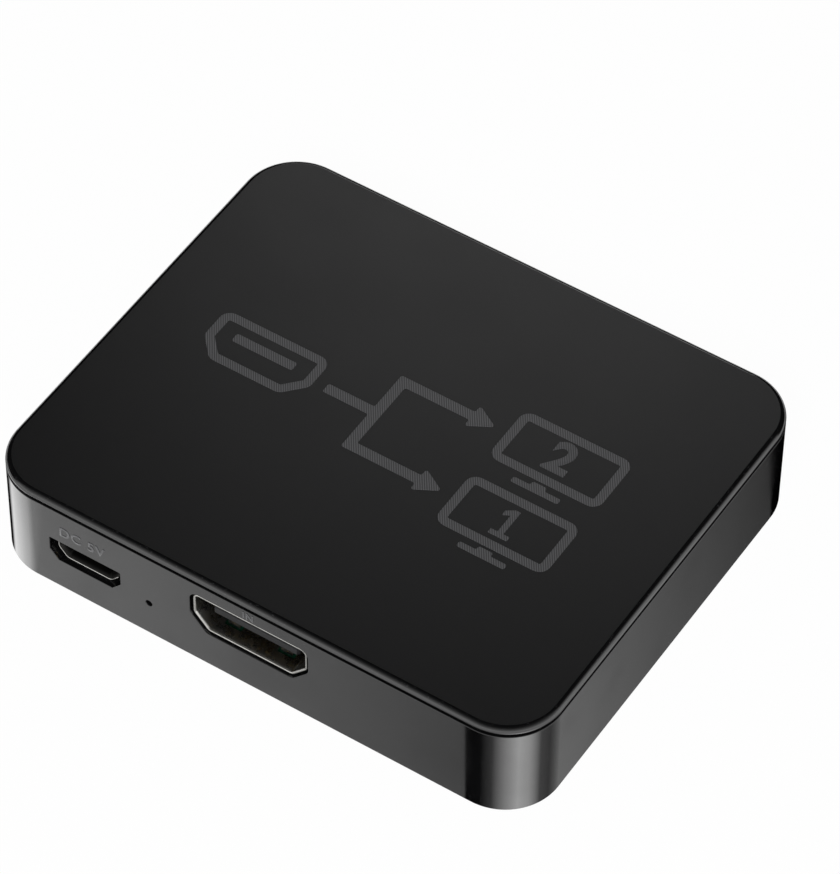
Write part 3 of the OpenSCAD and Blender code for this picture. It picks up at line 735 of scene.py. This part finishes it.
def make_lid():
    """The lid: a flat face with a rounded edge, a rim inside the walls, and four posts."""
    profile = [(RIM_INSET + RIM_T, DECK_Z), (RIM_INSET + RIM_T, LEDGE_Z)]
    profile += [(RIM_INSET, LEDGE_Z), (RIM_INSET, LID_Z)]
    profile += fillet(RELIEF + LID_EDGE_R, LID_Z, LID_EDGE_R, 0, 90, LID_EDGE_STEPS)
    bm = bmesh.new()
    loft(bm, [plan(inset, z) for inset, z in profile])
    lid = make_object("lid", bm)
    posts = bmesh.new()
    pilots = bmesh.new()
    for at in at_screws():
        loft(posts, [circle(POST_R, board_high.z, at), circle(POST_R, DECK_Z + TUCK, at)])
        loft(pilots, [circle(PILOT_R, board_high.z - OVERCUT, at), circle(PILOT_R, PILOT_TOP, at)])
    combine(lid, make_object("posts", posts), "UNION")
    combine(lid, make_object("pilots", pilots), "DIFFERENCE")
    soften(lid, SOFT_EDGE / 2)
    settle(lid)
    shade(lid)
    dress(lid, "lid_satin", "top_cover")
    lid.data.materials.append(finish_of("case_gloss"))
    for face in lid.data.polygons:
        if face.center.z > LID_Z * MM and face.normal.z < LID_EDGE_TILT:
            face.material_index = 1


# Sign on the lid: one socket feeds two numbered screens
SIGN_Y = 0.9
SIGN_STROKE = 1.1
SIGN_R = 0.25
PLATE_STEPS = 4
FRAME_STEPS = 6
SOURCE_X = -18.5
SOURCE = (14.0, 7.0, (2.4, 2.6))
SOURCE_TONGUE = (8.0, 1.2)
SCREEN_X = 17.0
SCREEN_APART = 10.8
SCREEN = (14.0, 7.8)
STAND_GAP = 0.35
STAND = [
    (-3, -1.3), (3, -1.3), (3, -0.55), (0.9, -0.55), (0.9, 0), (-0.9, 0), (-0.9, -0.55), (-3, -0.55),
]
FORK_START = -10.0
FORK_X = -4.0
FORK_W = 1.3
ARROW_BASE = 5.6
ARROW_TIP = 8.6
ARROW_HALF = 1.7
ONE = [
    (-1.2, -2.1), (1.2, -2.1), (1.2, -1.45), (0.4, -1.45), (0.4, 2.1), (-0.25, 2.1),
    (-1.2, 1.45), (-1.2, 0.7), (-0.35, 1.2), (-0.35, -1.45), (-1.2, -1.45),
]
DIGIT_R = 0.1
DIGIT_SIZE = 6.0
DIGIT_BOLD = 0.2


def moved(points, x, y):
    """Outline moved on the plan."""
    return [Vector((p[0] + x, p[1] + y)) for p in points]


def raised_plate(bm, corners, corner_r=SIGN_R):
    """Flat raised shape on the lid, with its upper edges broken."""
    rings = ((0, LID_FACE_Z - RELIEF_TUCK), (0, TOP_Z - RELIEF_EDGE), (-RELIEF_EDGE, TOP_Z))
    loft(bm, [flat(rounded(corners, corner_r, PLATE_STEPS, grow), z) for grow, z in rings])


def raised_frame(bm, corners):
    """Raised outline on the lid, with its upper edges broken."""
    low = LID_FACE_Z - RELIEF_TUCK
    inner = -SIGN_STROKE
    rings = (
        (0, low), (0, TOP_Z - RELIEF_EDGE), (-RELIEF_EDGE, TOP_Z),
        (inner + RELIEF_EDGE, TOP_Z), (inner, TOP_Z - RELIEF_EDGE), (inner, low),
    )
    outer_r = SIGN_STROKE + SIGN_R
    outlines = [flat(rounded(corners, outer_r, FRAME_STEPS, grow), z) for grow, z in rings]
    loft(bm, outlines, ring_shaped=True)


def fork_corners():
    """Outline of the line that forks to two arrows, about the line's own height."""
    half = FORK_W / 2
    far = SCREEN_APART / 2
    inside = FORK_X + FORK_W
    lower = [
        (FORK_START, -half), (FORK_X, -half), (FORK_X, -far - half), (ARROW_BASE, -far - half),
        (ARROW_BASE, -far - ARROW_HALF), (ARROW_TIP, -far), (ARROW_BASE, -far + ARROW_HALF),
        (ARROW_BASE, -far + half), (inside, -far + half),
    ]
    return lower + [(x, -y) for x, y in reversed(lower)]


def make_lid_sign():
    """Raised sign on the lid: a socket, a forked line with two arrows, and two numbered screens."""
    bm = bmesh.new()
    raised_frame(bm, moved(socket_corners(*SOURCE), SOURCE_X, SIGN_Y))
    raised_plate(bm, moved(rectangle(*SOURCE_TONGUE), SOURCE_X, SIGN_Y + SOURCE_TONGUE[1] / 2))
    raised_plate(bm, moved(fork_corners(), 0, SIGN_Y))
    for way in (-1, 1):
        y = SIGN_Y + way * SCREEN_APART / 2
        raised_frame(bm, moved(rectangle(*SCREEN), SCREEN_X, y))
        raised_plate(bm, moved(STAND, SCREEN_X, y - SCREEN[1] / 2 - STAND_GAP))
    raised_plate(bm, moved(ONE, SCREEN_X, SIGN_Y - SCREEN_APART / 2), DIGIT_R)
    middle = (SCREEN_X, SIGN_Y + SCREEN_APART / 2, TOP_Z - (RELIEF + RELIEF_TUCK) / 2)
    add_mesh(bm, lettering("2", DIGIT_SIZE, DIGIT_BOLD), Matrix.Translation(middle))
    sign = make_object("lid_sign", bm)
    shade(sign, SHARP_SMALL)
    dress(sign, "lid_satin", finish="lid_sign")


make_tray()
make_wall_words()
make_lid()
make_lid_sign()

# Sockets


def tube(bm, corners, bend_r, rings):
    """Sheet bent round an outline: rings of growth and depth, joined end to end."""
    outlines = [upright(rounded(corners, bend_r, BEND_STEPS, grow), y) for grow, y in rings]
    loft(bm, outlines, ring_shaped=True)


def legs(bm, w, t, top, places, middle_z):
    """Legs that run down from a shell's sides, through the board."""
    thin = t / 2 - TUCK / 2
    for x in (-(w + t) / 2, (w + t) / 2):
        for y in places:
            block(bm, (x - thin, y, LEG_END - middle_z), (x + thin, y + LEG_W, top))


def spring(bm, x, flip):
    """Spring finger of a video shell: it dips into the opening and turns up at its tip."""
    plate = VIDEO_H / 2
    knee = SPRING_START + SPRING_SLIT + SPRING_TIP_L
    path = []
    for k in range(SPRING_STEPS + 1):
        share = k / SPRING_STEPS
        drop = SPRING_DIP * (1 - math.cos(math.pi * share)) / 2
        path.append((SPRING_END + (knee - SPRING_END) * share, plate - drop))
    for along, dip in SPRING_TIP:
        path.append((knee - SPRING_TIP_L * along, plate - SPRING_DIP * dip))
    section = ((-1, 0), (1, 0), (1, VIDEO_SHELL_T), (-1, VIDEO_SHELL_T))
    rings = []
    for y, z in path:
        rings.append([Vector((x + sx * SPRING_W / 2, y, flip * (z + dz))) for sx, dz in section])
    loft(bm, rings)


def make_video_shell(name):
    """Nickel shell of a video socket, with its spring windows, springs and legs."""
    t = VIDEO_SHELL_T
    bm = bmesh.new()
    rings = [(0, VIDEO_BACK)]
    rings += [(grow, VIDEO_RECESS + y) for grow, y in VIDEO_LIP_SECTION]
    rings += [(t, VIDEO_BACK)]
    tube(bm, VIDEO_CORNERS, VIDEO_BEND_R, rings)
    shell = make_object(name + "_sleeve", bm)
    windows = bmesh.new()
    reach = SPRING_W / 2 + SPRING_SLIT
    for x in (-SPRING_X, SPRING_X):
        for low in (VIDEO_H / 2 - t, -VIDEO_H / 2 - 2 * t):
            block(windows, (x - reach, SPRING_START, low), (x + reach, SPRING_END, low + 3 * t))
    combine(shell, make_object("windows", windows), "DIFFERENCE")
    bm = bmesh.new()
    bm.from_mesh(shell.data)
    bm.transform(Matrix.Scale(1 / MM, 4))
    bpy.data.objects.remove(shell)
    for x in (-SPRING_X, SPRING_X):
        for flip in (-1, 1):
            spring(bm, x, flip)
    shoulder = VIDEO_SLANT[1] - VIDEO_H / 2 + VIDEO_BEND_R
    legs(bm, VIDEO_W, t, shoulder, VIDEO_LEGS, video_middle[name][1])
    shell = make_object(name + "_sleeve", bm, PLACES[name])
    shade(shell)
    dress(shell, "shell_metal", name + "_shell")


def tongue(bm, size, tip, root, up, chamfer):
    """Insulator's tongue, chamfered at its tip."""
    outline = rectangle(*size)
    rings = [(-chamfer, tip), (0, tip + TONGUE_SLOPE * chamfer), (0, root)]
    loft(bm, [upright(rounded(outline, TONGUE_R, TONGUE_STEPS, grow), y, up) for grow, y in rings])


def make_video_insulator(name):
    """Black insulator of a video socket: a block that fills the shell's back, and the tongue."""
    bm = bmesh.new()
    front = VIDEO_BACK - VIDEO_BLOCK_L
    body = rounded(VIDEO_CORNERS, VIDEO_BEND_R, BEND_STEPS, -FIT_GAP)
    loft(bm, [upright(body, front), upright(body, VIDEO_BACK)])
    tongue(bm, VIDEO_TONGUE, VIDEO_TONGUE_TIP, front, 0.0, VIDEO_TONGUE_CHAMFER)
    insulator = make_object(name + "_tongue", bm, PLACES[name])
    shade(insulator, SHARP_SMALL)
    dress(insulator, "insulator_black", name + "_insulator")


def make_power_socket():
    """Nickel shell of the power inlet with its flared mouth, and its insulator."""
    t = POWER_SHELL_T
    rim = POWER_RIM
    bm = bmesh.new()
    rings = [(0, POWER_BACK), (0, rim + POWER_FLARE_L)]
    rings += [(grow, rim + y) for grow, y in POWER_LIP_SECTION]
    rings += [(t, rim + POWER_FLARE_L + t / 2), (t, POWER_BACK)]
    tube(bm, POWER_CORNERS, POWER_BEND_R, rings)
    shoulder = POWER_SLANT[1] - POWER_H / 2 + POWER_BEND_R
    legs(bm, POWER_W, t, shoulder, POWER_LEGS, POWER_Z)
    shell = make_object("power_sleeve", bm, PLACES["power"])
    shade(shell)
    dress(shell, "shell_metal", "power_socket_shell")
    # The sleeve's inner faces, from the back into the start of the mouth, take darkened metal: painted
    # shade deep in the sleeve
    shell.data.materials.append(finish_of("shell_inside"))
    inside = POWER_PAINTED_SHADE_RINGS * len(rounded(POWER_CORNERS, POWER_BEND_R, BEND_STEPS))
    for face in shell.data.polygons[:inside]:
        face.material_index = 1
    bm = bmesh.new()
    front = POWER_BACK - POWER_BLOCK_L
    body = rounded(POWER_CORNERS, POWER_BEND_R, BEND_STEPS, -FIT_GAP)
    loft(bm, [upright(body, front), upright(body, POWER_BACK)])
    tongue(bm, POWER_TONGUE, POWER_TONGUE_TIP, front, POWER_TONGUE_UP, POWER_TONGUE_CHAMFER)
    insulator = make_object("power_tongue", bm, PLACES["power"])
    shade(insulator, SHARP_SMALL)
    dress(insulator, "insulator_black", "power_socket_insulator")


for socket in video_middle:
    make_video_shell(socket)
    make_video_insulator(socket)
make_power_socket()

# Solids that stay: each takes the finish of its slot, and its edges are broken
EDGE = {"foot_rubber": 0.3, "contact_gold": 0.03, "screw_steel": 0.08}
BOARD_PART_EDGE = 0.03
SOLID_WELD = 1e-7
FLAT_ANGLE = 0.5
for subpart in frame["record"]["subparts"]:
    solid = frame["nodes"][subpart["node"]]
    solid.data.materials.clear()
    solid.data.materials.append(finish_of(subpart["material_slot"]))
    weld = solid.modifiers.new("weld", "WELD")
    weld.merge_threshold = SOLID_WELD
    merge = solid.modifiers.new("flat faces", "DECIMATE")
    merge.decimate_type = "DISSOLVE"
    merge.angle_limit = math.radians(FLAT_ANGLE)
    soften(solid, EDGE.get(subpart["material_slot"], BOARD_PART_EDGE))

# Studio: a white floor, a room that darkens upwards, cards round the foot of the box, and lamps

# Floor: its share of white for the camera, and its brightness in polished faces
FLOOR_Z = -0.02
FLOOR_COLOUR = (0.85, 0.85, 0.85, 1)
FLOOR_WHITE = 0.975
FLOOR_RINGS = (0, 2, 4, 6, 8, 10, 12, 14, 16, 20, 25, 30, 40, 60, 100, 200, 600, 3000)
FLOOR_SIDE_STEPS = 24
FLOOR_REACH = (4, 16)
FLOOR_FOOT = 0.16
FLOOR_PALE = 1.0
FLOOR_DIM = 0.06
PALE_SIDE = Vector((0.6, -0.8, 0.0))
PALE_TURN = (-0.4, 0.4)

# Room: brightness of its pale and dim sides, where one turns into the other, and how it falls upwards
WHITE = (1, 1, 1, 1)
ROOM_PALE = 1.4
ROOM_DIM = 0.008
ROOM_TURN = (-0.15, 0.1)
ROOM_FALL = 1.5

# Lamps: place and size in metres, and power
KEY = ((-0.199, 0.379, 0.364), (0.18, 0.18), 0.26)
FILL = ((0.35, -0.75, 0.85), (0.3, 0.3), 11.0)

# Camera
CAMERA_PLACE = (0.19634, -0.30405, 0.43768)
CAMERA_AZIMUTH = math.radians(32.465)
CAMERA_ELEVATION = math.radians(49.5085)
CAMERA_ROLL = math.radians(0.7323)
CAMERA_LENS = 210.95
SENSOR = 36.0


def stage_mesh(name, bm, finish):
    """Piece of the studio, in metres."""
    mesh = bpy.data.meshes.new(name)
    bm.to_mesh(mesh)
    bm.free()
    piece = bpy.data.objects.new(name, mesh)
    bpy.context.scene.collection.objects.link(piece)
    mesh.materials.append(finish)
    return piece


def soft_step(value, low, high):
    """Soft step from 0 at one value to 1 at another."""
    share = min(max((value - low) / (high - low), 0), 1)
    return share * share * (3 - 2 * share)


def floor_glow(place):
    """How bright polished faces see the floor: even at the box, then pale in front and dim behind."""
    off = max(abs(place.x) - CASE_W / 2, abs(place.y) - CASE_D / 2)
    pale = soft_step(place.normalized().dot(PALE_SIDE), *PALE_TURN)
    far = FLOOR_DIM + (FLOOR_PALE - FLOOR_DIM) * pale
    return FLOOR_FOOT + (far - FLOOR_FOOT) * soft_step(off, *FLOOR_REACH)


def studded(ring):
    """The case's plan outline with more points along its straight sides."""
    points = []
    for k, p in enumerate(ring, 1):
        points.append(p)
        if k % (CORNER_STEPS + 1) == 0:
            corner = ring[k % len(ring)]
            points += [p.lerp(corner, j / FLOOR_SIDE_STEPS) for j in range(1, FLOOR_SIDE_STEPS)]
    return points


def glowing_vert(bm, place, brightness):
    """Vertex of the studio, with its brightness."""
    vert = bm.verts.new(place * MM)
    vert[bm.verts.layers.float_color["glow"]] = (brightness, brightness, brightness, 1)
    return vert


def make_floor():
    """Pale floor that shows white and keeps the box's shadow."""
    material = bpy.data.materials.new("floor")
    f = Finish(material)
    camera = f.node("ShaderNodeLightPath", output="Is Camera Ray")
    glossy = f.node("ShaderNodeLightPath", output="Is Glossy Ray")
    through = f.node("ShaderNodeLightPath", output="Is Transmission Ray")
    matt = f.node("ShaderNodeBsdfDiffuse", inputs={"Color": FLOOR_COLOUR})
    white = f.node("ShaderNodeEmission", inputs={"Color": WHITE, "Strength": 1.0})
    glow = f.node("ShaderNodeVertexColor", {"layer_name": "glow"})
    seen = FLOOR_WHITE * camera + glow * (glossy + through)
    both = f.node("ShaderNodeMixShader", inputs=(seen, matt, white))
    f.node_output("ShaderNodeOutputMaterial", both)
    bm = bmesh.new()
    bm.verts.layers.float_color.new("glow")
    rows = []
    for reach in FLOOR_RINGS:
        rows.append([glowing_vert(bm, p, floor_glow(p)) for p in studded(plan(-reach, FLOOR_Z))])
    bm.faces.new(rows[0])
    for a, b in zip(rows, rows[1:]):
        for i in range(len(a)):
            bm.faces.new((a[i - 1], b[i - 1], b[i], a[i]))
    stage_mesh("floor", bm, material)


def make_room():
    """Room with a pale front and right side, dim overhead and behind, which the camera sees white."""
    world = bpy.data.worlds.new("room")
    bpy.context.scene.world = world
    f = Finish(world)
    way = f.node("ShaderNodeTexCoord", output="Generated")
    rise = f.node("ShaderNodeSeparateXYZ", inputs=(way,), output="Z")
    ahead = f.along(way, PALE_SIDE)
    camera = f.node("ShaderNodeLightPath", output="Is Camera Ray")
    white = f.node("ShaderNodeBackground", inputs={"Color": WHITE, "Strength": 1.0})
    pale = f.node("ShaderNodeBackground", inputs={"Color": WHITE, "Strength": ROOM_PALE})
    dim = f.node("ShaderNodeBackground", inputs={"Color": WHITE, "Strength": ROOM_DIM})
    lit = f.between(ahead, *ROOM_TURN) * (1 - rise).math("POWER", ROOM_FALL)
    walls = f.node("ShaderNodeMixShader", inputs=(lit, dim, pale))
    both = f.node("ShaderNodeMixShader", inputs=(camera, walls, white))
    f.node_output("ShaderNodeOutputWorld", both)


# Cards: even near the box, then fading into the floor, and shorter towards a bare end
CARD_Z = 0.2
CARD_COLUMNS = 60
CARD_EVEN = 12
CARD_SHORT = 0.12
CARD_FADE = [(0, 0), (12, 0), (15, 0.1), (18, 0.25), (22, 0.5), (28, 0.8), (34, 0.95), (40, 1)]

# Runs of cards round the box: the corners and the wall's turns in degrees where a run starts and ends,
# its bare end with the share of the run where cover is full, and stops of brightness along it
CARD_RUNS = (
    ((-1, -1), (-1, -1), (-70, 0), (0, 0.16), [
        (0, 0), (0.43, 0), (0.525, 1.4), (0.715, 1.65), (0.865, 1.6), (1, 0.7),
    ]),
    ((-1, -1), (1, -1), (0, 0), None, [(0, 0.7), (0.985, 0.3), (0.99, 0), (1, 0)]),
    ((1, -1), (1, -1), (0, 90), None, [
        (0, 0), (0.1, 0), (0.22, 0.2), (0.36, 1.3), (0.49, 2.2), (0.6, 1.6), (0.73, 0.25), (0.84, 0.13),
        (1, 0.335),
    ]),
    ((1, -1), (1, 1), (90, 90), None, [(0, 0.335), (0.46, 0.195), (1, 0.08)]),
    ((1, 1), (1, 1), (90, 145), (1, 0.59), [(0, 0.08), (0.035, 0), (1, 0)]),
)


def between_stops(stops, value):
    """Value on a line through stops."""
    for (low, a), (high, b) in zip(stops, stops[1:]):
        if value <= high:
            return a + (b - a) * (value - low) / (high - low)
    return stops[-1][1]


def level_way(turn):
    """Level direction at a turn from the front, towards the right."""
    return Vector((math.sin(turn), -math.cos(turn), 0))


def make_cards():
    """Pale and dark cards laid round the foot of the box, which only its polished walls mirror."""
    material = bpy.data.materials.new("cards")
    f = Finish(material)
    glow = f.node("ShaderNodeVertexColor", {"layer_name": "glow"})
    shine = f.node("ShaderNodeEmission", inputs={"Color": glow, "Strength": 1.0})
    f.node_output("ShaderNodeOutputMaterial", shine)
    corner = Vector((CASE_W / 2 - CORNER_R, CASE_D / 2 - CORNER_R))
    bm = bmesh.new()
    bm.verts.layers.float_color.new("glow")
    rows = []
    for start, end, turns, bare, stops in CARD_RUNS:
        shares = {k / CARD_COLUMNS for k in range(CARD_COLUMNS + 1)} | {share for share, _ in stops}
        for share in sorted(shares):
            centre = corner * Vector(start).lerp(Vector(end), share)
            out = math.radians(turns[0] + (turns[1] - turns[0]) * share)
            sight = 2 * out - CAMERA_AZIMUTH
            foot = centre.to_3d() + CORNER_R * level_way(out) + Vector((0, 0, CARD_Z))
            way = level_way(sight)
            cover = soft_step(share, *bare) if bare else 1
            length = CARD_SHORT + (1 - CARD_SHORT) * abs(share - bare[0]) if bare else 1
            row = []
            for reach, fade in CARD_FADE:
                place = foot + (min(reach, CARD_EVEN) + max(reach - CARD_EVEN, 0) * length) * way
                floor = floor_glow(place)
                brightness = floor + (between_stops(stops, share) - floor) * (1 - fade) * cover
                row.append(glowing_vert(bm, place, brightness))
            rows.append(row)
    for a, b in zip(rows, rows[1:]):
        for i in range(len(CARD_FADE) - 1):
            bm.faces.new((a[i], a[i + 1], b[i + 1], b[i]))
    cards = stage_mesh("cards", bm, material)
    cards.visible_camera = False
    cards.visible_diffuse = False
    cards.visible_shadow = False


def softbox(name, place, size, power):
    """Soft lamp that faces the box."""
    lamp = bpy.data.lights.new(name, "AREA")
    lamp.shape = "RECTANGLE"
    lamp.size, lamp.size_y = size
    lamp.energy = power
    box = bpy.data.objects.new(name, lamp)
    box.location = place
    box.rotation_mode = "QUATERNION"
    box.rotation_quaternion = Vector(place).to_track_quat("Z", "Y")
    bpy.context.scene.collection.objects.link(box)
    return box


def make_camera():
    """Camera at the view of the picture that the box was built from."""
    lens = bpy.data.cameras.new("camera")
    lens.sensor_fit = "AUTO"
    lens.sensor_width = SENSOR
    lens.lens = CAMERA_LENS
    camera = bpy.data.objects.new("camera", lens)
    bpy.context.scene.collection.objects.link(camera)
    back = math.cos(CAMERA_ELEVATION) * level_way(CAMERA_AZIMUTH)
    back.z = math.sin(CAMERA_ELEVATION)
    right = Vector((math.cos(CAMERA_AZIMUTH), math.sin(CAMERA_AZIMUTH), 0))
    up = back.cross(right)
    turned_right = right * math.cos(CAMERA_ROLL) + up * math.sin(CAMERA_ROLL)
    turned_up = up * math.cos(CAMERA_ROLL) - right * math.sin(CAMERA_ROLL)
    axes = Matrix((turned_right, turned_up, back)).transposed().to_4x4()
    camera.matrix_world = Matrix.Translation(CAMERA_PLACE) @ axes
    bpy.context.scene.camera = camera


make_floor()
make_room()
make_cards()
softbox("key", *KEY)
fill = softbox("fill", *FILL)
fill.visible_glossy = False
make_camera()
bpy.context.scene.view_settings.view_transform = "Standard"
